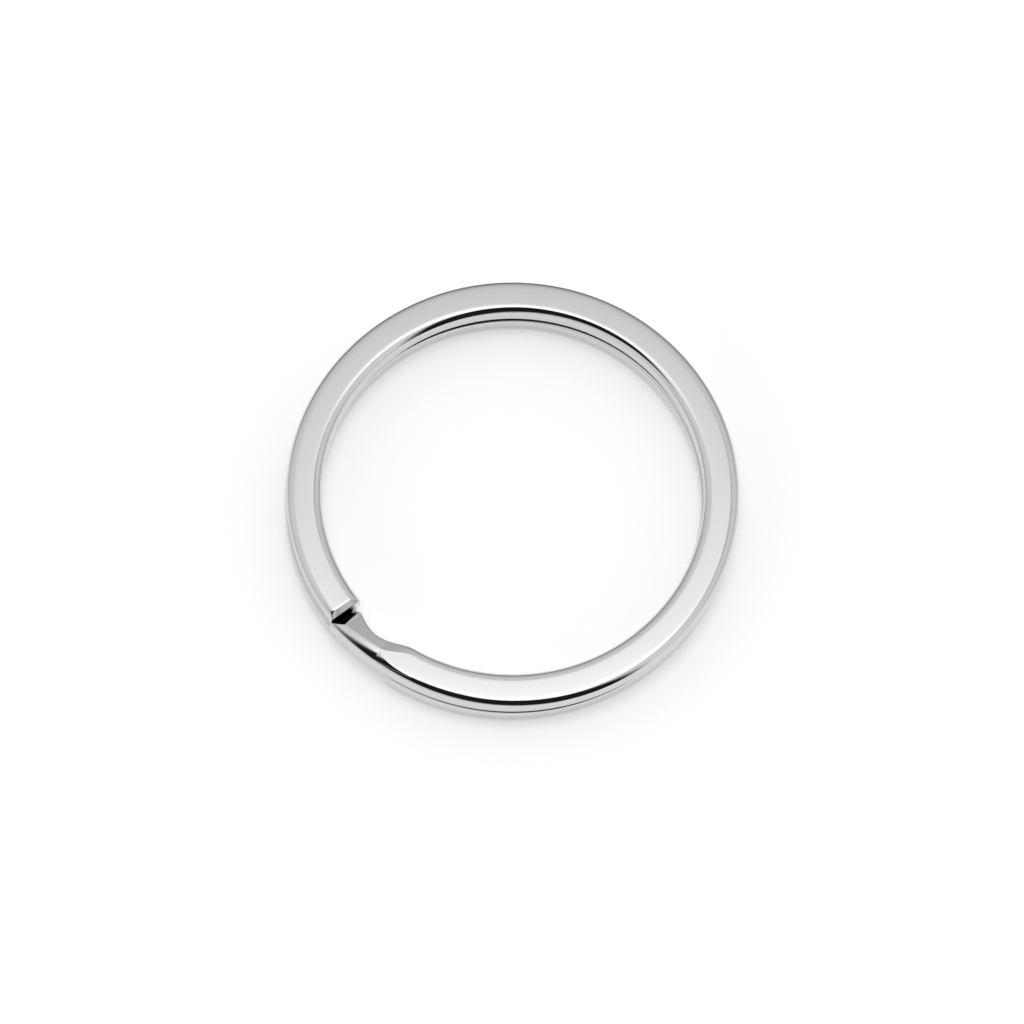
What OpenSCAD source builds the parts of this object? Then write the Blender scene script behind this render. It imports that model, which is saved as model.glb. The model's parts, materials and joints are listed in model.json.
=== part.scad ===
// Split key ring: one length of flat spring wire, wound twice round, that
// steps down by one layer where its two free ends pass each other.
// The upper turn's free end sits above the step and the lower turn's free
// end sits below it. Lengths are in millimetres and azimuths in degrees,
// anticlockwise from +X seen from above. Z = 0 is the face the ring lies on.

/* [Ring] */
// Outside diameter of the ring
ring_od = 30; // [20:0.5:60]
// Width of the wire, from the bore to the outside
wire_w = 2.35; // [2:0.05:3.2]
// Thickness of the wire, which is the height of one turn
wire_t = 1.5; // [1.2:0.05:3]
// Radius of the wire's four long corners
corner_r = 0.4; // [0.1:0.02:0.44]
// Open gap between the two turns
turn_gap = 0.1; // [0.06:0.01:0.3]

/* [Free ends] */
// Azimuth of the upper turn's free end
upper_end_az = 217.3; // [0:0.1:360]
// Length along the wire from the upper turn's end to the lower turn's end
end_spacing = 4.5; // [3.7:0.1:8]
// Radius that eases the edges of the upper turn's cut end
upper_end_r = 0.08; // [0.02:0.01:0.2]
// Length of the bevel on top of the upper turn's end
bevel_length = 0.34; // [0.1:0.02:0.6]
// Height of the bevel on top of the upper turn's end
bevel_height = 0.25; // [0.1:0.01:0.4]
// Radius that rounds the edges of the lower turn's end
lower_end_r = 0.35; // [0.1:0.05:0.5]

/* [Step between the turns] */
// Length of the climb that lies hidden under the upper turn's end
step_lead = 1.4; // [0.4:0.1:1.4]
// Length of the climb beyond the lower turn's end
step_tail = 0; // [0:0.05:1.2]
// Level length beside the upper turn's end, before the steep pocket
pocket_start = 0.06; // [0.04:0.01:0.3]
// Length from the upper turn's end to the pocket's far edge, at the ridge
pocket_length = 0.82; // [0.5:0.01:1.5]
// Length from the pocket's start to its far edge, at the outer wall
wall_pocket = 0.1; // [0.05:0.01:0.4]
// How much lower than the plain top face the ridge is at the pocket's far edge
ridge_sink = 0.2; // [0:0.02:0.7]
// Length from the upper turn's end to the point of the flat top face
flat_tip = 3.6; // [2.5:0.1:6]
// Length over which the outer side of the flat top face opens to full width
outer_opening = 2.8; // [1:0.1:4]
// Length over which the inner side of the flat top face opens to full width
inner_opening = 3.4; // [2:0.1:6]
// Length under the upper turn's end over which the rounded outer side fades out
press_fade = 1.2; // [0.8:0.1:2]
// Distance in from the outside to the ridge, at the point of the flat top face
ridge_inset = 1; // [0.6:0.05:1.05]
// How much nearer to the outside the ridge is at the upper turn's end
ridge_lean = 0.45; // [0:0.05:0.45]
// Fall of the rounded outer side at the wall, for each millimetre of its width
round_fall = 0.58; // [0.2:0.02:0.7]
// Radius of the outer wall's top corner at the upper turn's end
tight_corner_r = 0.1; // [0.05:0.01:0.3]
// Radius of that corner at the point of the flat top face
loose_corner_r = 0.2; // [0.05:0.01:0.4]
// Fall of the inner facet for each millimetre of its width
facet_fall = 0.36; // [0:0.02:0.4]
// Radius of the corner between the inner facet and the bore side
facet_corner_r = 0.25; // [0.1:0.05:0.25]
// Depth that the bore side is pressed in
neck_depth = 0.65; // [0:0.05:0.7]
// Length from the upper turn's end to the middle of the neck
neck_middle = 2.6; // [2:0.1:4]
// Length of the neck each way from its middle
neck_reach = 2.9; // [1:0.1:3.5]

/* [Hidden] */

$fn = 96;
STEEL = [0.80, 0.79, 0.77];
CORNER_STEPS = 6;   // flats on each rounded corner of the wire's section
SLOPE_STEPS = 5;    // flats on the rounded outer side
GENTLE_POWER = 1.5; // how fast the ridge changes at first, and less near the flat's point
ROUND_POWER = 2.5;  // how late the rounded outer side bends down
LATE_POWER = 4;     // how late in the pocket the inner facet forms
STEP_LENGTH = 0.25; // length between the sections along the step
POCKET_STEP = 0.1;  // length between the sections in the pocket
TIP_FLAT = 0.02;    // width that the flat top face has left at its point
BROW_LIMIT = 0.9;   // greatest share of the outer side that the flat top face takes
LAP = 0.4;          // length that the step is let into each turn
LAP_INSET = 0.01;   // how far under the turn's skin it is let in
LAP_FADE = 1;       // length over which it comes up to the skin
CUT = 1;            // how far a cutting tool reaches past the wire

outer_r = ring_od / 2;
bore_r = outer_r - wire_w;
middle_r = (outer_r + bore_r) / 2;
turn_pitch = wire_t + turn_gap;

// Lengths along the wire, counted from the upper turn's free end
step_start = -step_lead;
step_end = end_spacing + step_tail;
sweep_start = min(step_start, -press_fade, neck_middle - neck_reach);
sweep_end = max(flat_tip + max(outer_opening, inner_opening), neck_middle + neck_reach, step_end);

// ---- how the wire changes along its length s ----

// Azimuth at a length along the wire
function az_at(s) = upper_end_az + s / middle_r * 180 / PI;

// Limits a value to the range from 0 to 1
function unit(x) = min(max(x, 0), 1);

// Goes from 0 to 1 and is level at both
function ease(x) = let (c = unit(x)) c * c * (3 - 2 * c);

// A parabola, which leaves 0 steep and reaches 1 level
function open_out(x) = let (c = unit(x)) c * (2 - c);

// Height of the underside, from the lower turn's up to the upper turn's
function underside(s) = turn_pitch * ease((s - step_start) / (step_end - step_start));

// Share left of the way to the point of the flat top face
function left(s) = pow(1 - unit(s / flat_tip), GENTLE_POWER);

// Share of the climb in the pocket. Its far edge comes nearer by the share
// of the way from the ridge to the outer wall.
function steep(s, way) =
    let (climb = pocket_length - pocket_start)
    unit((s - pocket_start) / (climb + (wall_pocket - climb) * way));

// Height of the top: level under the upper end, steep in the pocket, then
// gentle up to the point of the flat top face
function top_height(s, way) =
    wire_t + (turn_pitch - ridge_sink) * steep(s, way) + ridge_sink * (1 - left(s));

// Radius of the ridge, which leans outwards towards the upper turn's end
function ridge(s) = outer_r - ridge_inset + ridge_lean * left(s);

// 1 in the pressed form and 0 in plain wire, for each side of the ridge
function outer_pressed(s) = ease(s / press_fade + 1);
function inner_pressed(s) = pow(unit(s / pocket_length), LATE_POWER);

// Share of the way from the flat's point to where one of its sides is open
function opened(s, opening) = unit((s - flat_tip) / opening);

// Radius of the bore side, which is pressed outwards along the neck
function bore_side(s) = bore_r + neck_depth * pow(cos(90 * unit(abs(s - neck_middle) / neck_reach)), 2);

// How far the skin lies under plain wire's, at both ends of the step
function inset(s) = LAP_INSET * (1 - ease(min(s - sweep_start, sweep_end - s) / LAP_FADE));

// ---- the wire's section, as points of radius and height ----

// An arc of a circle, anticlockwise between two angles
function arc(centre, r, from, to) = [
    for (i = [0 : CORNER_STEPS])
        let (t = from + (to - from) * i / CORNER_STEPS)
        centre + r * [cos(t), sin(t)]
];

// The outline of a section, anticlockwise from its lower outer corner. low and
// high are its heights at the underside and the top. outer_top holds the points
// of its outer top side. The inner facet starts at facet_r, falls by fall for
// each millimetre, and runs into a corner of radius edge_r.
function outline(bore, outer, low, high, outer_top, facet_r, fall, edge_r) =
    let (
        tilt = atan(fall),
        facet_w = facet_r - bore - edge_r * (1 - sin(tilt)),
        edge_z = high - fall * facet_w - edge_r * cos(tilt)
    )
    concat(
        arc([outer - corner_r, low + corner_r], corner_r, -90, 0),
        outer_top,
        [[facet_r, high]],
        arc([bore + edge_r, edge_z], edge_r, 90 + tilt, 180),
        arc([bore + corner_r, low + corner_r], corner_r, 180, 270)
    );

// The outer top side of the step's section at s, from the wall's corner to the
// brow where the flat top face starts. Below the flat it falls by a power of
// the way from the ridge, and that fall runs on straight round the corner.
function outer_side(s, outer, high) =
    let (
        form = outer_pressed(s) * (1 - opened(s, outer_opening)),
        tight = tight_corner_r + (loose_corner_r - tight_corner_r) * unit(s / flat_tip),
        shoulder = corner_r + (tight - corner_r) * form,
        width = outer - shoulder - ridge(s),
        open = max(pow(opened(s, outer_opening), 1 / ROUND_POWER), 1 - outer_pressed(s)),
        brow = ridge(s) + width * min(open, BROW_LIMIT),
        slope_w = outer - shoulder - brow,
        corner = arc([outer - shoulder, high - shoulder], shoulder, 0, 90),
        slope = [for (i = [SLOPE_STEPS - 1 : -1 : 0]) [brow + slope_w * i / SLOPE_STEPS, high]]
    )
    [
        for (p = concat(corner, slope))
            let (
                way = unit((p[0] - ridge(s)) / width),
                bend = max(pow(way, ROUND_POWER) - opened(s, outer_opening), 0) * width / ROUND_POWER,
                past = max(p[0] - ridge(s) - width, 0),
                rise = top_height(s, way * outer_pressed(s)) - top_height(s, 0)
            )
            [p[0], p[1] - round_fall * (outer_pressed(s) * bend + form * past) + rise]
    ];

// The section of the step at s
function step_section(s) =
    let (
        skin = inset(s),
        bore = bore_side(s) + skin,
        outer = outer_r - skin,
        low = underside(s) + skin,
        high = top_height(s, 0) - skin,
        inner_open = opened(s, inner_opening),
        inner_plain = open_out(inner_open) + 1 - inner_pressed(s),
        inner_form = inner_pressed(s) * (1 - ease(inner_open)),
        edge_r = facet_corner_r + (corner_r - facet_corner_r) * (1 - inner_form),
        edge_centre = bore + edge_r,
        facet_r = edge_centre + TIP_FLAT / 2 + (ridge(s) - TIP_FLAT - edge_centre) * (1 - inner_plain)
    )
    outline(bore, outer, low, high, outer_side(s, outer, high), facet_r, facet_fall * inner_form, edge_r);

// Lengths from one to just before another, at most size apart
function stretch(from, to, size) =
    let (count = ceil((to - from) / size))
    [for (i = [0 : count - 1]) from + (to - from) * i / count];

// ---- solids ----

// Plain wire from one azimuth round to another, lying on the floor
module turn(from_az, to_az) {
    rotate([0, 0, from_az])
        rotate_extrude(angle = to_az - from_az)
            polygon(outline(
                bore_r, outer_r, 0, wire_t, arc([outer_r - corner_r, wire_t - corner_r], corner_r, 0, 90),
                bore_r + corner_r + TIP_FLAT / 2, 0, corner_r
            ));
}

// The stretch of wire that climbs from one turn to the other
module step() {
    lengths = concat(
        stretch(sweep_start - LAP, 0, STEP_LENGTH),
        [0],
        stretch(pocket_start, pocket_length, POCKET_STEP),
        stretch(pocket_length, sweep_end + LAP, STEP_LENGTH),
        [sweep_end + LAP]
    );
    count = len(lengths) - 1;
    size = len(step_section(0));
    points = [
        for (s = lengths)
            for (p = step_section(s))
                [p[0] * cos(az_at(s)), p[0] * sin(az_at(s)), p[1]]
    ];
    sides = [
        for (i = [0 : count - 1], j = [0 : size - 1])
            let (a = i * size + j, b = i * size + (j + 1) % size)
            each [[a, b, b + size], [a, b + size, a + size]]
    ];
    first_cap = [for (j = [size - 1 : -1 : 0]) j];
    last_cap = [for (j = [0 : size - 1]) count * size + j];
    polyhedron(points, concat(sides, [first_cap, last_cap]), convexity = 6);
}

// What is cut away to round the edges of a wire's end by radius r. The end's
// face is the plane X = 0, the wire runs from it towards -X at Y = its radius,
// and low is the height of its underside.
module end_rounding(low, r) {
    for (side = [0, 1])
        translate([0, 0, low + side * wire_t])
            mirror([0, 0, side])
                difference() {
                    translate([-r, bore_r - CUT, -CUT])
                        cube([r + CUT, wire_w + 2 * CUT, CUT + r]);
                    translate([-r, bore_r - 2 * CUT, r])
                        rotate([-90, 0, 0])
                            cylinder(h = wire_w + 4 * CUT, r = r);
                }
    wall_rounding(low, r, bore_r + r, bore_r, bore_r - CUT);
    wall_rounding(low, r, outer_r - r, outer_r, outer_r + CUT);
}

// The part of end_rounding for one curved wall. A cylinder whose axis lies
// centre_r from the ring's axis touches the end's face and the wall, and what
// lies beyond it, as far as past_y, is cut away.
module wall_rounding(low, r, centre_r, wall_r, past_y) {
    centre_y = sqrt(centre_r * centre_r - r * r);
    touch_x = -r * wall_r / centre_r;
    difference() {
        translate([touch_x, min(centre_y, past_y), low - CUT])
            cube([CUT - touch_x, abs(past_y - centre_y), wire_t + 2 * CUT]);
        translate([-r, centre_y, low - 2 * CUT])
            cylinder(h = wire_t + 4 * CUT, r = r);
    }
}

// What is cut away for the bevel on top of a wire's end, in the same place as
// end_rounding. high is the height of the wire's top.
module end_bevel(high) {
    fall = bevel_height / bevel_length;
    translate([0, outer_r + CUT, 0])
        rotate([90, 0, 0])
            linear_extrude(wire_w + 2 * CUT)
                polygon([
                    [-bevel_length - CUT, high + CUT * fall],
                    [CUT, high - bevel_height - CUT * fall],
                    [CUT, high + 2 * CUT]
                ]);
}

// The turn on top, as far as its free end
module upper_turn() {
    difference() {
        translate([0, 0, turn_pitch])
            turn(az_at(sweep_end), upper_end_az + 360);
        rotate([0, 0, upper_end_az - 90])
            mirror([1, 0, 0]) {
                end_rounding(turn_pitch, upper_end_r);
                end_bevel(turn_pitch + wire_t);
            }
    }
}

// The turn underneath, from its free end
module lower_turn() {
    difference() {
        turn(az_at(end_spacing), az_at(sweep_start) + 360);
        rotate([0, 0, az_at(end_spacing) - 90])
            end_rounding(0, lower_end_r);
    }
}

module split_ring() {
    color(STEEL) {
        upper_turn();
        lower_turn();
        step();
    }
}

split_ring();
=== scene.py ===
"""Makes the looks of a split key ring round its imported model, in a plain studio.

One length of flat wire is wound twice round. A length s along the wire is counted
from the upper turn's free end, and grows with the azimuth. The two turns cross in a
pressed step just past that end. Lengths are in metres and angles in radians.
"""

import json
import math

import bmesh
import bpy
import numpy as np
from bpy.props import FloatProperty, FloatVectorProperty, PointerProperty
from bpy.types import Operator, Panel, PropertyGroup
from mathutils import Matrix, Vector


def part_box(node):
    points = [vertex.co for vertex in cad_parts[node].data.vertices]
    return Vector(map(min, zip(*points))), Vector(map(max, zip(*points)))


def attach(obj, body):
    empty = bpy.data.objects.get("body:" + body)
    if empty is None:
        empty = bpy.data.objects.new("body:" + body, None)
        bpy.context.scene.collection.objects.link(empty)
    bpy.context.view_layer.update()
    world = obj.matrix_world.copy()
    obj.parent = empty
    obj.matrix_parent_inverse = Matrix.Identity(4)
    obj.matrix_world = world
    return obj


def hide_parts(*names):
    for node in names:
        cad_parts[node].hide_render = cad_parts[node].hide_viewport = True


bl_info = {
    "name": "Split Key Ring",
    "version": (1, 0, 0),
    "blender": (4, 5, 0),
    "location": "3D View > Sidebar > Key Ring",
    "description": "Makes a polished split key ring and the plain studio it lies in",
    "category": "Add Mesh",
}

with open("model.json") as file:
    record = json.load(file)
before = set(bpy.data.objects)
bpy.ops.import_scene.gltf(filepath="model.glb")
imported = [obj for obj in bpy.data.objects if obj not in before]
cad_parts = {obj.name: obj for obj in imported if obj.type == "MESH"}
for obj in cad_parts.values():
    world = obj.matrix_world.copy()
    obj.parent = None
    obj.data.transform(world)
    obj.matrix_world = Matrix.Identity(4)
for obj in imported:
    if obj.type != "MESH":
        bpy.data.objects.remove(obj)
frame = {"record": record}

MM = 0.001
NODE = "split_ring"
PIECE = "split_key_ring"

LOW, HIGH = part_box(NODE)
OUTSIDE = HIGH.y - LOW.y
MOUNTS = {mount["name"]: mount for mount in frame["record"]["mounts"]}
BORE_RADIUS = MOUNTS["ring_bore"]["dims"]["r_mm"] * MM


# ---- sizes, finishes and lights that can be changed ----


def length(name, description, default_mm):
    """A size given in millimetres and kept in metres."""
    return FloatProperty(
        name=name, description=description, default=default_mm * MM, precision=6,
        subtype="DISTANCE", unit="LENGTH",
    )


def angle(name, description, degrees):
    """An angle given in degrees and kept in radians."""
    return FloatProperty(
        name=name, description=description, default=math.radians(degrees),
        subtype="ANGLE", unit="ROTATION",
    )


def share(name, description, default):
    """A plain number from 0 to 1."""
    return FloatProperty(
        name=name, description=description, default=default, min=0, max=1, subtype="FACTOR",
    )


def colour(name, description, default):
    """A colour of red, green and blue from 0 to 1."""
    return FloatVectorProperty(
        name=name, description=description, default=default, min=0, max=1, subtype="COLOR",
    )


class WireSizes(PropertyGroup):
    """The plain wire and its two free ends."""

    outside: length("Outside", "Outside diameter of the ring", OUTSIDE / MM)
    width: length("Width", "Width of the wire", (OUTSIDE / 2 - BORE_RADIUS) / MM)
    height: length("Height", "Height of the two turns together", (HIGH.z - LOW.z) / MM)
    gap: length("Gap", "Open gap between the two turns", 0.1)
    corner: length("Corner", "Radius of the wire's four long corners", 0.4)
    crown_reach: length("Crown reach", "From the middle of a face to the bend of its crown", 0.66)
    crown_bend: length("Crown bend", "How gently a face bends into its crown", 0.07)
    crown_tilt: angle("Crown tilt", "Fall of a face's crown at its corners", 9)
    drift: length("Drift", "How far the lower turn lies towards -X", 0.15)
    upper_end: angle("Upper end", "Azimuth of the upper turn's free end", 217.3)
    upper_corner: length("Upper corner", "Radius round the upper turn's cut face", 0.04)
    bevel_length: length("Bevel length", "Length of the bevel on top of the upper end", 0.34)
    bevel_height: length("Bevel height", "Height of the bevel on top of the upper end", 0.25)
    bevel_run: length("Bevel run", "Length of wire whose outlines lean back to the bevel", 0.9)
    upper_spring: length("Upper spring", "How far the upper end springs in", 0.1)
    spring_length: length("Spring length", "Length over which the upper end springs in", 12)
    cut_waves: length("Cut waves", "Height of the waves on a cut face", 0.004)
    lower_corner: length("Lower corner", "Radius round the lower turn's end", 0.35)
    end_spacing: length("End spacing", "Along the wire from the upper end to the lower one", 4.5)


class StepSizes(PropertyGroup):
    """The pressed step, with lengths counted from the upper turn's free end."""

    lead: length("Lead", "Length of the climb that lies under the upper end", 1.4)
    tail: length("Tail", "Length of the climb beyond the lower end", 0)
    pocket_start: length("Pocket start", "Level length beside the upper end", 0.06)
    pocket_length: length("Pocket length", "Length to the steep pocket's far edge", 0.82)
    wall_pocket: length("Wall pocket", "Length of the steep climb at the outer wall", 0.1)
    press_fade: length("Press fade", "Length under the upper end where the form fades out", 1.2)
    ridge_sink: length("Ridge sink", "How far below the plain top the pocket ends", 0.2)
    flat_tip: length("Flat tip", "Length to the point of the flat top face", 3.6)
    outer_opening: length("Outer opening", "Length over which the flat's outer side opens", 2.8)
    inner_opening: length("Inner opening", "Length over which the flat's inner side opens", 3.4)
    ridge_inset: length("Ridge inset", "From the outside to the ridge, at the flat's point", 1)
    ridge_lean: length("Ridge lean", "How much nearer to the outside the ridge starts", 0.45)
    round_end: angle("Round end", "Fall of the outer side at the wall's corner", 30)
    round_power: FloatProperty(
        name="Round power", description="How late the outer side bends down", default=2.5,
    )
    tight_corner: length("Tight corner", "Least radius of the pressed wall's corner", 0.1)
    loose_corner: length("Loose corner", "Radius of that corner at the flat's point", 0.2)
    facet_tilt: angle("Facet tilt", "Fall of the inner facet", 19.8)
    facet_corner: length("Facet corner", "Radius between the facet and the bore side", 0.25)
    neck_depth: length("Neck depth", "Depth that the bore side is pressed in", 0.65)
    neck_middle: length("Neck middle", "Length to the middle of the neck", 2.6)
    neck_reach: length("Neck reach", "Length of the neck each way from its middle", 2.9)


class NickelFinish(PropertyGroup):
    """The bright nickel plate."""

    plate: colour("Plate", "Colour that the plate reflects", (0.66, 0.655, 0.645))
    shine: share("Shine", "Roughness of the plate where it is brightest", 0.03)
    handling: share("Handling", "Roughness that handling adds in patches", 0.02)
    grain: share("Grain", "Roughness that the fine grain adds", 0.01)
    relief: length("Relief", "Height of the fine grain", 0.0002)


class StudioSizes(PropertyGroup):
    """The camera, the table and the lights."""

    elevation: angle("Elevation", "Angle of the camera above the table", 70.2)
    distance: length("Distance", "From the camera to the middle of its view", 300)
    view_width: length("View width", "Width of the view at its middle", 68.2667)
    middle_x: length("Middle X", "X of the view's middle on the table", -0.0333)
    middle_y: length("Middle Y", "Y of the view's middle on the table", -0.4464)
    sensor: length("Sensor", "Width of the camera's sensor", 36)
    table: share("Table", "Brightness of the table", 0.8)
    backdrop: share("Backdrop", "White that the table shows whatever light falls on it", 0.3)
    table_size: length("Table size", "Width of the table", 3000)
    # Painted shade in the metal: from these Y on, behind the ring, metal reflects the table darker
    # than it is
    reflected_shade_start: length("Dim start", "Y from which metal shows the table dimmer", 14)
    reflected_shade_end: length("Dim end", "Y from which metal shows the table dimmest", 24)
    reflected_shade_share: share("Dim share", "How much dimmer metal shows the table there", 0.8)
    lamp_power: FloatProperty(
        name="Lamp power", description="Power of the overhead lamp", default=1.2, unit="POWER",
    )
    lamp_size: length("Lamp size", "Diameter of the overhead lamp", 350)
    lamp_height: length("Lamp height", "Height of the overhead lamp", 600)
    level: FloatProperty(name="Level", description="Strength of the surroundings", default=1.21)


# ---- the wire as a surface ----


def unit(x):
    """Limits to the range from 0 to 1."""
    return np.clip(x, 0.0, 1.0)


def ease(x):
    """Goes from 0 to 1 and is level at both: three x squared less two x cubed."""
    c = unit(x)
    return c * c * (3 - 2 * c)


def open_out(x):
    """A parabola that leaves 0 steep and reaches 1 level."""
    c = unit(x)
    return c * (2 - c)


# Powers by which the ridge changes fast at first, and the inner facet comes late
GENTLE_POWER = 1.5
LATE_POWER = 4


class Strand:
    """The wire's form as a function of the length s from the upper turn's free end.

    The upper turn lies at s above the step, up to one whole turn where its free end
    is, and the lower turn lies at s below the step.
    """

    def __init__(self, wire, step):
        self.wire = wire
        self.step = step
        self.outer_r = wire.outside / 2
        self.bore_r = self.outer_r - wire.width
        self.middle_r = (self.outer_r + self.bore_r) / 2
        self.thickness = (wire.height - wire.gap) / 2
        self.pitch = self.thickness + wire.gap
        self.turn = 2 * math.pi * self.middle_r

    def climb(self, s):
        """0 in the lower turn and 1 in the upper one, eased through the step."""
        start = -self.step.lead
        end = self.wire.end_spacing + self.step.tail
        return ease((s - start) / (end - start))

    def left(self, s):
        """Share left of the way to the flat's point, raised to the gentle power."""
        return (1 - unit(s / self.step.flat_tip)) ** GENTLE_POWER

    def top(self, s, way):
        """Height of the top: level under the upper end, straight and steep in the
        pocket, then gentle up to the point of the flat. The pocket is shorter by the
        share of the way from the ridge to the outer wall."""
        step = self.step
        steep = self.pitch - step.ridge_sink
        gentle = step.ridge_sink * (1 - self.left(s))
        climb = step.pocket_length - step.pocket_start
        climb = climb + (step.wall_pocket - climb) * way
        return self.thickness + steep * unit((s - step.pocket_start) / climb) + gentle

    def ridge(self, s):
        """Radius of the ridge, which leans outwards towards the upper end."""
        return self.outer_r - self.step.ridge_inset + self.step.ridge_lean * self.left(s)

    def outer_pressed(self, s):
        """Share of the pressed form outside the ridge: it fades out under the upper end."""
        return ease(s / self.step.press_fade + 1)

    def inner_pressed(self, s):
        """Share of the pressed form inside the ridge: the share of the way through the
        pocket, raised to the late power."""
        return unit(s / self.step.pocket_length) ** LATE_POWER

    def opened(self, s, opening):
        """Share of the way from the flat's point to where one of its sides is open."""
        return unit((s - self.step.flat_tip) / opening)

    def neck(self, s):
        """How far the bore side is pressed outwards: a squared cosine along the neck."""
        reach = unit(np.abs(s - self.step.neck_middle) / self.step.neck_reach)
        return self.step.neck_depth * np.cos(math.pi / 2 * reach) ** 2

    def crown(self, radius):
        """Fall of a face at a radius: a hyperbola that is level in the middle and bends
        on each side into a straight slope."""
        wire = self.wire
        past = np.abs(radius - self.middle_r) - wire.crown_reach
        return math.tan(wire.crown_tilt) * (past + np.sqrt(past**2 + wire.crown_bend**2)) / 2

    def spring(self, s):
        """How far the wire springs towards the ring's axis, eased up to the upper end."""
        wire = self.wire
        return wire.upper_spring * ease((s - self.turn) / wire.spring_length + 1)


# Shares of the way round a corner and across a part of the outline where it has points.
# Those of the flat lie closest where its crown bends.
CORNER_POINTS = np.linspace(0, 1, 11)
WALL_POINTS = np.array([0.05, 0.5, 0.95])
FACE_POINTS = np.array([0.03, 0.12, 0.21, 0.3, 0.4, 0.5, 0.6, 0.7, 0.79, 0.88, 0.97])
FLAT_POINTS = np.array([0.02, 0.045, 0.07, 0.1, 0.14, 0.2, 0.5, 0.8, 0.86, 0.9, 0.93, 0.955, 0.98])
LEAST_CORNER = 0.02 * MM
LEAST_FLAT = 0.02 * MM


def arc(centre_r, centre_z, radius, start, end):
    """Part of a circle about a centre, anticlockwise between two angles.

    The radius and height are the centre's plus the circle's radius times the cosine
    and sine, for each section (row) and point (column).
    """
    turn = start + (end - start) * CORNER_POINTS
    return centre_r + radius * np.cos(turn), centre_z + radius * np.sin(turn)


def between(a, b, shares):
    """Points at shares of the way from the last point of a to the first point of b."""
    return tuple(p[:, -1:] * (1 - shares) + q[:, :1] * shares for p, q in zip(a, b))


def sections(strand, s, skin):
    """The wire's outline at every length s, drawn in by skin all round.

    Returns radius and height, one row for each s and one column for each point, going
    anticlockwise from the lower outer corner: that corner, the outer wall, the outer
    rounding, the pressed slope, the brow, the flat, the crest, the inner facet, its
    corner, the bore wall, the lower inner corner and the underside.
    """
    wire, step = strand.wire, strand.step
    s, skin = s[:, None], skin[:, None]
    quarter = math.pi / 2
    low = strand.climb(s) * strand.pitch + skin
    high = strand.top(s, 0) - skin
    outer = strand.outer_r - skin
    bore = strand.bore_r + strand.neck(s) + skin
    corner = np.maximum(wire.corner - skin, LEAST_CORNER)
    power = step.round_power
    ridge = strand.ridge(s)
    pressed = strand.outer_pressed(s)
    opened = strand.opened(s, step.outer_opening)
    outer_form = pressed * (1 - opened)
    inner_form = strand.inner_pressed(s) * (1 - ease(strand.opened(s, step.inner_opening)))
    inner_plain = open_out(strand.opened(s, step.inner_opening)) + 1 - strand.inner_pressed(s)
    tight = step.tight_corner + (step.loose_corner - step.tight_corner) * unit(s / step.flat_tip)
    shoulder = corner + (tight - corner) * outer_form
    width = outer - shoulder - ridge
    brow_r = ridge + width * np.maximum(opened ** (1 / power), 1 - pressed)
    edge = corner + (step.facet_corner - corner) * inner_form
    edge_r = bore + edge
    facet_r = edge_r + LEAST_FLAT / 2 + (ridge - LEAST_FLAT - edge_r) * (1 - inner_plain)
    fall = math.tan(step.facet_tilt) * inner_form
    tilt = np.arctan(fall)
    edge_z = high - fall * (facet_r - edge_r + edge * np.sin(tilt)) - edge * np.cos(tilt)

    lower_outer = arc(outer - corner, low + corner, corner, -quarter, 0)
    rounding = arc(outer - shoulder, high - shoulder, shoulder, 0, quarter)
    brow = (brow_r, high + 0 * brow_r)
    crest = (facet_r, high + 0 * facet_r)
    facet_edge = arc(edge_r, edge_z, edge, quarter + tilt, 2 * quarter)
    lower_inner = arc(bore + corner, low + corner, corner, 2 * quarter, 3 * quarter)
    slope = between(rounding, brow, FACE_POINTS)
    flat = between(brow, crest, FLAT_POINTS)
    facet = between(crest, facet_edge, FACE_POINTS)

    def crowned(points):
        """Lowers plain parts of the top by their crown, and the pressed outer side by
        the power of the way from the ridge that falls below the flat, which runs on
        straight round the corner."""
        radius, height = points
        kept = np.where(radius > ridge, 1 - outer_form, inner_plain)
        past = (radius - ridge) / width
        way = unit(past)
        slope = math.tan(step.round_end) * width
        sunk = slope * pressed * np.maximum(way**power - opened, 0) / power
        sunk = sunk + slope * outer_form * np.maximum(past - 1, 0)
        rise = strand.top(s, way * pressed) - strand.top(s, 0)
        return radius, height - strand.crown(radius) * kept - sunk + rise

    def raised(points):
        """Raises the underside by its crown."""
        radius, height = points
        return radius, height + strand.crown(radius)

    top = [crowned(points) for points in (rounding, slope, brow, flat, crest, facet, facet_edge)]
    base = between(lower_inner, lower_outer, FACE_POINTS)
    lower_inner, base, lower_outer = (raised(points) for points in (lower_inner, base, lower_outer))
    outer_wall = between(lower_outer, top[0], WALL_POINTS)
    inner_wall = between(top[-1], lower_inner, WALL_POINTS)
    parts = [lower_outer, outer_wall, *top, inner_wall, lower_inner, base]
    return [np.concatenate([part[i] for part in parts], axis=1) for i in (0, 1)]


# How far in from its rounded edge a cut face has outlines, and the deepest that fits
CUT_INSETS = np.array([0.6, 0.5, 0.4, 0.32, 0.27, 0.24, 0.21, 0.16, 0.1, 0.05, 0.02]) * MM
DEEPEST = 0.7 * MM
EDGE_TURN = np.linspace(0, math.pi / 2, 7)


def end_rings(radius):
    """Distance from an end's face, inset and share of the face's waves of each outline
    there, from the middle of the face outwards and round its edge.

    The edge is a quarter circle: the distance is the radius less its cosine share, and
    the inset the radius less its sine share.
    """
    face = radius + CUT_INSETS[CUT_INSETS + radius < DEEPEST]
    away = np.concatenate([0 * face, radius * (1 - np.cos(EDGE_TURN))])
    inset = np.concatenate([face, radius * (1 - np.sin(EDGE_TURN))])
    waves = np.concatenate([0 * face + 1, np.cos(EDGE_TURN)])
    return away, inset, waves


# Each wave's size, its turn in radians for each millimetre across and up, and its start
WAVES = ((1, 5.3, 1.9, 0.4), (0.7, 2.6, -5.1, 2.1), (0.4, 9.7, 4.3, 0))


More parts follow.
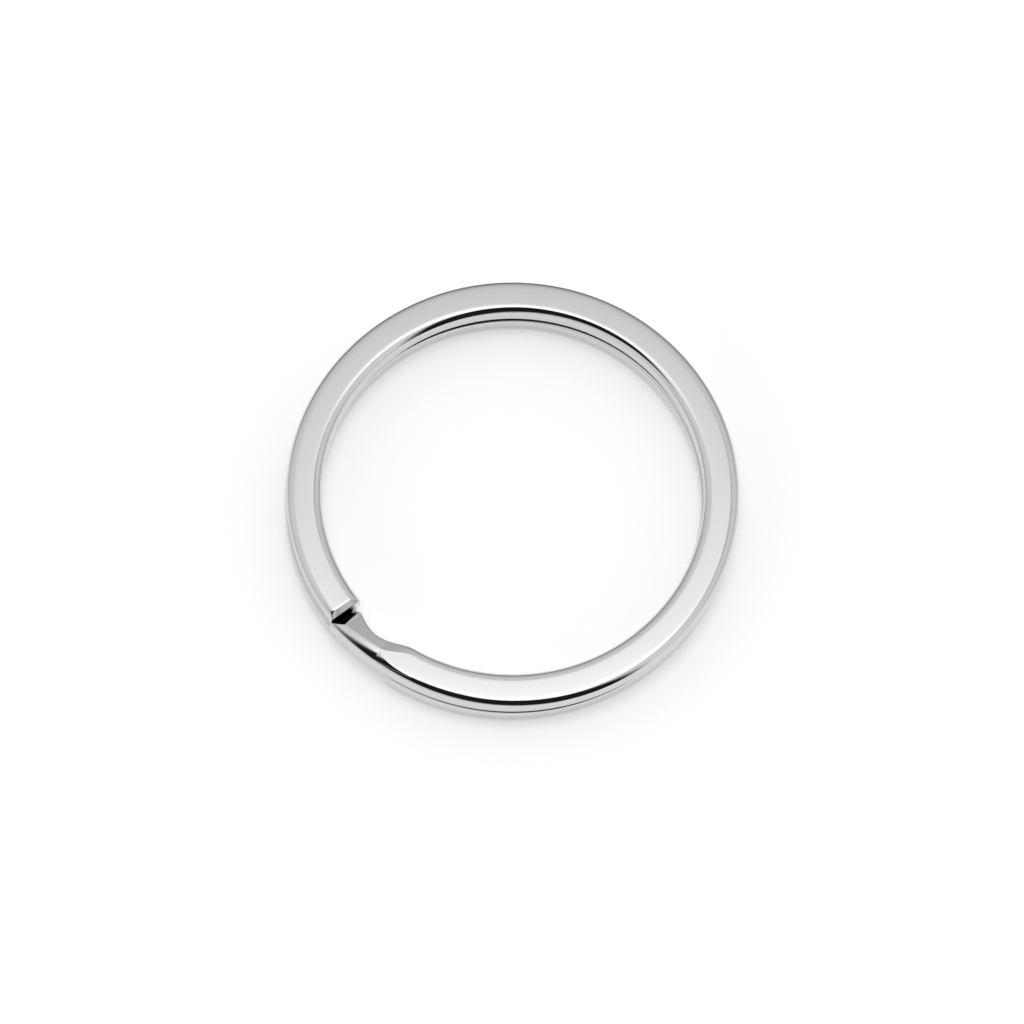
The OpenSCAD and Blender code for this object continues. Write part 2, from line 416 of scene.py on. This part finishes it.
def cut_waves(radius, height):
    """Waves left on a sheared face: a sum of sines of the radius and height."""
    across, up = radius / MM, height / MM
    return sum(size * np.sin(a * across + b * up + start) for size, a, b, start in WAVES)


# Numbers of outlines along the wire, each with the length s up to which they reach
PLAIN_OUTLINES = 220
STEP_OUTLINES = (
    (PLAIN_OUTLINES, -4 * MM),
    (14, -1.4 * MM),
    (20, 0),
    (60, 0.9 * MM),
    (50, 3.2 * MM),
    (60, 4.6 * MM),
    (50, 9 * MM),
)


def spread(start, *runs):
    """Lengths from start through each run, which is a number of steps and its end."""
    parts = []
    for count, end in runs:
        parts.append(np.linspace(start, end, count, endpoint=False))
        start = end
    return np.concatenate([*parts, [start]])


def wire_surface(strand):
    """The whole wire as one closed surface, swept from its lower end to its upper one.

    Each outline is turned to its azimuth, which is the upper end's plus s over the
    middle radius. Near the upper end the outlines' tops lean back to its bevel, by the
    square of the share of the way there. The lower turn is moved by its drift, and the
    upper end by its spring. Returns the points, the faces and each point's place along,
    across and up the wire.
    """
    wire = strand.wire
    low_away, low_inset, low_waves = end_rings(wire.lower_corner)
    high_away, high_inset, high_waves = end_rings(wire.upper_corner)
    first, last = wire.end_spacing - strand.turn, strand.turn
    run_end = (PLAIN_OUTLINES, last - wire.upper_corner)
    run = spread(first + wire.lower_corner, *STEP_OUTLINES, run_end)[1:-1]
    s = np.concatenate([first + low_away, run, (last - high_away)[::-1]])
    skin = np.concatenate([low_inset, 0 * run, high_inset[::-1]])
    waves = np.concatenate([low_waves, 0 * run, -high_waves[::-1]])
    radius, height = sections(strand, s, skin)
    bevel = unit(1 - (wire.height - height) / wire.bevel_height)
    bevel = bevel * unit(1 - (last - s[:, None]) / wire.bevel_run) ** 2
    place = s[:, None] + wire.cut_waves * waves[:, None] * cut_waves(radius, height)
    place = place - wire.bevel_length * bevel
    azimuth = wire.upper_end + place / strand.middle_r
    drift = -wire.drift * (1 - strand.climb(s))[:, None]
    reach = radius - strand.spring(s)[:, None]
    points = np.stack([reach * np.cos(azimuth) + drift, reach * np.sin(azimuth), height], -1)
    along = np.stack([place, radius, height], -1)

    rows, columns = radius.shape
    count = rows * columns
    grid = np.arange(count).reshape(rows, columns)
    after = np.roll(grid, -1, axis=1)
    quads = np.stack([grid[:-1], grid[1:], after[1:], after[:-1]], -1).reshape(-1, 4)
    low_cap = np.stack([grid[0], after[0], np.full(columns, count)], -1)
    high_cap = np.stack([after[-1], grid[-1], np.full(columns, count + 1)], -1)
    points, along = (
        np.concatenate([a.reshape(-1, 3), a[[0, -1]].mean(axis=1)]) for a in (points, along)
    )
    return points, quads.tolist() + low_cap.tolist() + high_cap.tolist(), along


WELD = 0.0002 * MM


def weld(mesh):
    """Joins points that lie in one place, where part of an outline has no width."""
    surface = bmesh.new()
    surface.from_mesh(mesh)
    bmesh.ops.remove_doubles(surface, verts=surface.verts, dist=WELD)
    surface.to_mesh(mesh)
    surface.free()


# ---- shader expressions ----


class Sock:
    """One output of a node tree, on which an expression adds its Math nodes."""

    def __init__(self, tree, socket=None):
        self.tree = tree
        self.socket = socket

    def node(self, kind, settings=None, inputs=None, output=0):
        """Adds a node: its type, then its settings, then its sockets' values or links.
        Gives one of its outputs."""
        node = self.tree.nodes.new(kind)
        for name, value in (settings or {}).items():
            setattr(node, name, value)
        for name, value in (inputs or {}).items():
            if isinstance(value, Sock):
                self.tree.links.new(value.socket, node.inputs[name])
            else:
                node.inputs[name].default_value = value
        return Sock(self.tree, node.outputs[output] if node.outputs else None)

    def math(self, operation, *values):
        return self.node("ShaderNodeMath", {"operation": operation}, dict(enumerate(values)))

    def __add__(self, other):
        return self.math("ADD", self, other)

    def __sub__(self, other):
        return self.math("SUBTRACT", self, other)

    def __rsub__(self, other):
        return self.math("SUBTRACT", other, self)

    def __mul__(self, other):
        return self.math("MULTIPLY", self, other)

    def __truediv__(self, other):
        return self.math("DIVIDE", self, other)

    def __pow__(self, other):
        return self.math("POWER", self, other)

    __radd__ = __add__
    __rmul__ = __mul__

    def at_least(self, other):
        return self.math("MAXIMUM", self, other)

    def eased(self, low, high):
        """0 at low and 1 at high, level at both."""
        return self.node(
            "ShaderNodeMapRange",
            {"interpolation_type": "SMOOTHSTEP"},
            {"Value": self, "From Min": low, "From Max": high},
        )

    def split(self):
        """The three parts of a vector."""
        node = self.node("ShaderNodeSeparateXYZ", None, {"Vector": self}).socket.node
        return [Sock(self.tree, socket) for socket in node.outputs]


def new_tree(owner):
    """An owner's node tree, emptied, as the start of expressions."""
    owner.use_nodes = True
    owner.node_tree.nodes.clear()
    return Sock(owner.node_tree)


# ---- finishes ----


# Cells of the grain for each metre along, across and up the wire, and cells of the
# patches for each metre
GRAIN_SCALE = (250, 14000, 14000)
GRAIN_DETAIL = 2
PATCH_SCALE = 260
PATCH_DETAIL = 3
PATCH_EDGE = (0.42, 0.75)


def polished_nickel(finish):
    """Bright nickel plate: a mirror that is a little dulled in patches by handling, with
    a fine grain drawn out along the wire."""
    material = bpy.data.materials.new("polished_nickel")
    start = new_tree(material)
    along = start.node("ShaderNodeAttribute", {"attribute_name": "along_wire"}, output="Vector")
    drawn = start.node(
        "ShaderNodeVectorMath", {"operation": "MULTIPLY"}, {0: along, 1: GRAIN_SCALE},
    )
    grain = start.node(
        "ShaderNodeTexNoise", None, {"Vector": drawn, "Scale": 1, "Detail": GRAIN_DETAIL},
    )
    place = start.node("ShaderNodeTexCoord", output="Object")
    patches = start.node(
        "ShaderNodeTexNoise",
        None,
        {"Vector": place, "Scale": PATCH_SCALE, "Detail": PATCH_DETAIL},
    )
    dulled = finish.shine + finish.handling * patches.eased(*PATCH_EDGE) + finish.grain * grain
    bump = start.node(
        "ShaderNodeBump", None, {"Height": grain, "Distance": finish.relief, "Strength": 1},
    )
    shader = start.node(
        "ShaderNodeBsdfPrincipled",
        None,
        {
            "Base Color": (*finish.plate, 1),
            "Metallic": 1,
            "Roughness": dulled,
            "Normal": bump,
        },
    )
    start.node("ShaderNodeOutputMaterial", None, {"Surface": shader})
    return material


def white_table(studio):
    """A matt white table, which also shows some white of its own as a backdrop to the
    camera and in metal and glass. Far behind the ring its colour and white are darkened
    only where metal reflects it: painted shade in the metal's reflections."""
    material = bpy.data.materials.new("white_table")
    start = new_tree(material)
    path = start.node("ShaderNodeLightPath").socket.node.outputs
    seen = Sock(start.tree, path["Is Camera Ray"])
    seen = seen + Sock(start.tree, path["Is Glossy Ray"])
    seen = seen + Sock(start.tree, path["Is Transmission Ray"])
    place = start.node("ShaderNodeTexCoord", output="Object")
    far = place.split()[1].eased(studio.reflected_shade_start, studio.reflected_shade_end)
    # Painted shade: the table's colour and white are darkened only for glossy rays, so metal
    # reflects it darker far behind the ring
    reflection_shade = 1 - studio.reflected_shade_share * far * Sock(start.tree, path["Is Glossy Ray"])
    shader = start.node(
        "ShaderNodeBsdfPrincipled",
        None,
        {
            "Base Color": reflection_shade * studio.table,
            "Roughness": 0.8,
            "Specular IOR Level": 0,
            "Emission Color": seen * reflection_shade * studio.backdrop,
            "Emission Strength": 1,
        },
    )
    start.node("ShaderNodeOutputMaterial", None, {"Surface": shader})
    return material


# The studio's white walls: their light at the horizon, how much more it is overhead,
# and how much more towards the front, and the same for the darker wall at the back
WALL, WALL_RISE, WALL_FRONT = 0.55, 0.22, 0.2
BACK_WALL, BACK_RISE = 0.25, 0.5
FRONT_EDGE = (0, -0.6)
BACK_EDGE = (0.3, 0.95)

# The white panel and the dim gap on its right, on a ceiling one unit up
PANEL_X, PANEL_Y, PANEL_LIGHT = 0.02, 0.1, 0.6
PANEL_EDGE = (0.345, 0.13)
GAP_DIM = 0.28
GAP_INNER_EDGE, GAP_OUTER_EDGE, GAP_LEFT_EDGE = (0.2, 0.28), (0.42, 0.33), (0.05, 0.15)

# The black card: its point on that ceiling, the directions square to its two sides,
# how its lower side slants, and how dark it is
CARD_X, CARD_Y, CARD_DARK = -0.1, 0.1, 0.985
RIGHT_X, RIGHT_Y, RIGHT_EDGE = 0.7071, 0.7071, (0.13, -0.13)
LEFT_X, LEFT_Y, LEFT_EDGE = -0.287, 0.958, (0.2, -0.3)
LOWER_SLANT, LOWER_EDGE = 0.6, (0, 0.4)

# The least that each is divided by, so that no place is endlessly far
LEAST_HEIGHT, LEAST_LEVEL, LEAST_CARD_R = 0.05, 0.03, 0.01


def surroundings(X, Y, Z):
    """Brightness of the soft white studio in the direction (X, Y, Z).

    x and y are the place that the direction meets on a ceiling one unit up.
    """
    height = Z.at_least(LEAST_HEIGHT)
    x, y = X / height, Y / height
    level = ((X * X + Y * Y) ** 0.5).at_least(LEAST_LEVEL)

    # White walls, darker towards the horizon at the back and lighter at the front
    back = (Y / level).eased(*BACK_EDGE)
    front = (Y / level).eased(*FRONT_EDGE)
    wall = WALL + WALL_RISE * Z + WALL_FRONT * front * (1 - Z)
    light = wall + back * (BACK_WALL + BACK_RISE * Z - wall)

    # A round white panel overhead, a little to the back, with a dim gap on its right
    panel_x, panel_y = x - PANEL_X, y - PANEL_Y
    panel_r = (panel_x * panel_x + panel_y * panel_y) ** 0.5
    light = light + PANEL_LIGHT * panel_r.eased(*PANEL_EDGE)
    gap = panel_r.eased(*GAP_INNER_EDGE) * panel_r.eased(*GAP_OUTER_EDGE)
    gap = gap * panel_x.eased(*GAP_LEFT_EDGE)
    light = light * (1 - GAP_DIM * gap)

    # A black card at the front left, which ends in a point beside the panel
    card_x, card_y = x - CARD_X, y - CARD_Y
    card_r = ((card_x * card_x + card_y * card_y) ** 0.5).at_least(LEAST_CARD_R)
    right_side = ((RIGHT_X * card_x + RIGHT_Y * card_y) / card_r).eased(*RIGHT_EDGE)
    left_side = ((LEFT_X * card_x + LEFT_Y * card_y) / card_r).eased(*LEFT_EDGE)
    lower_side = (Z + LOWER_SLANT * X).eased(*LOWER_EDGE)
    card = right_side * left_side * lower_side
    return light * (1 - CARD_DARK * card)


# ---- operators ----


def new_object(name, data):
    """A new object at the origin, in the scene."""
    obj = bpy.data.objects.new(name, data)
    bpy.context.scene.collection.objects.link(obj)
    return obj


class KEYRING_OT_ring(Operator):
    """Make the ring's wire with its bright nickel plate"""

    bl_idname = "key_ring.ring"
    bl_label = "Split Ring"

    def execute(self, context):
        settings = context.scene
        strand = Strand(settings.key_ring_wire, settings.key_ring_step)
        points, faces, along = wire_surface(strand)
        mesh = bpy.data.meshes.new(PIECE)
        mesh.from_pydata(points.tolist(), [], faces)
        attribute = mesh.attributes.new("along_wire", "FLOAT_VECTOR", "POINT")
        attribute.data.foreach_set("vector", along.ravel())
        weld(mesh)
        mesh.shade_smooth()
        if mesh.validate():
            raise RuntimeError("the wire's surface has a faulty face")
        mesh.materials.append(polished_nickel(settings.key_ring_nickel))
        ring = new_object(PIECE, mesh)
        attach(ring, "root")
        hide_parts(NODE)
        return {"FINISHED"}


class KEYRING_OT_stage(Operator):
    """Make the camera, the white table, the lamp and the soft studio round them"""

    bl_idname = "key_ring.stage"
    bl_label = "Studio"

    def execute(self, context):
        studio = context.scene.key_ring_studio
        self.place_camera(context.scene, studio)
        self.lay_table(studio)
        self.hang_lamp(studio)
        self.light_room(context.scene, studio)
        context.scene.view_settings.view_transform = "Standard"
        return {"FINISHED"}

    @staticmethod
    def place_camera(scene, studio):
        """Looks down at the middle of the view from the front."""
        data = bpy.data.cameras.new("camera")
        camera = new_object("camera", data)
        back = Vector((0, -math.cos(studio.elevation), math.sin(studio.elevation)))
        camera.location = Vector((studio.middle_x, studio.middle_y, 0)) + back * studio.distance
        camera.rotation_euler = back.to_track_quat("Z", "Y").to_euler()
        data.sensor_width = studio.sensor / MM
        data.lens = data.sensor_width * studio.distance / studio.view_width
        data.clip_start, data.clip_end = 0.01, 10
        scene.camera = camera

    @staticmethod
    def lay_table(studio):
        """A square table that the ring lies on."""
        half = studio.table_size / 2
        corners = [(-half, -half, 0), (half, -half, 0), (half, half, 0), (-half, half, 0)]
        mesh = bpy.data.meshes.new("table")
        mesh.from_pydata(corners, [], [(0, 1, 2, 3)])
        mesh.materials.append(white_table(studio))
        new_object("table", mesh)

    @staticmethod
    def hang_lamp(studio):
        """A round soft lamp straight overhead, which isn't seen in the metal."""
        data = bpy.data.lights.new("overhead", "AREA")
        data.shape = "DISK"
        data.size = studio.lamp_size
        data.energy = studio.lamp_power
        lamp = new_object("overhead", data)
        lamp.location = (0, 0, studio.lamp_height)
        lamp.visible_glossy = False

    @staticmethod
    def light_room(scene, studio):
        """The soft surroundings, which the camera itself sees as plain white."""
        room = bpy.data.worlds.new("studio")
        scene.world = room
        start = new_tree(room)
        direction = start.node("ShaderNodeTexCoord", output="Object")
        light = studio.level * surroundings(*direction.split())
        lit = start.node("ShaderNodeBackground", None, {"Color": light})
        white = start.node("ShaderNodeBackground", None, {"Color": (1, 1, 1, 1)})
        seen = start.node("ShaderNodeLightPath")
        mixed = start.node("ShaderNodeMixShader", None, {0: seen, 1: lit, 2: white})
        start.node("ShaderNodeOutputWorld", None, {"Surface": mixed})


class KEYRING_PT_panel(Panel):
    """Lists what makes the ring and its studio, with their sizes"""

    bl_idname = "KEYRING_PT_panel"
    bl_label = "Key Ring"
    bl_space_type = "VIEW_3D"
    bl_region_type = "UI"
    bl_category = "Key Ring"

    def draw(self, context):
        for operator in OPERATORS:
            self.layout.operator(operator.bl_idname)
        for name in SETTINGS:
            box = self.layout.box()
            group = getattr(context.scene, name)
            for setting in group.__annotations__:
                box.prop(group, setting)


SETTINGS = {
    "key_ring_wire": WireSizes,
    "key_ring_step": StepSizes,
    "key_ring_nickel": NickelFinish,
    "key_ring_studio": StudioSizes,
}
OPERATORS = (KEYRING_OT_ring, KEYRING_OT_stage)
CLASSES = (*SETTINGS.values(), *OPERATORS, KEYRING_PT_panel)


def register():
    for kind in CLASSES:
        bpy.utils.register_class(kind)
    for name, kind in SETTINGS.items():
        setattr(bpy.types.Scene, name, PointerProperty(type=kind))


def unregister():
    for name in SETTINGS:
        delattr(bpy.types.Scene, name)
    for kind in reversed(CLASSES):
        bpy.utils.unregister_class(kind)


def main():
    """Makes everything."""
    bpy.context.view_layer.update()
    register()
    bpy.ops.key_ring.ring()
    bpy.ops.key_ring.stage()


if __name__ == "__main__":
    main()
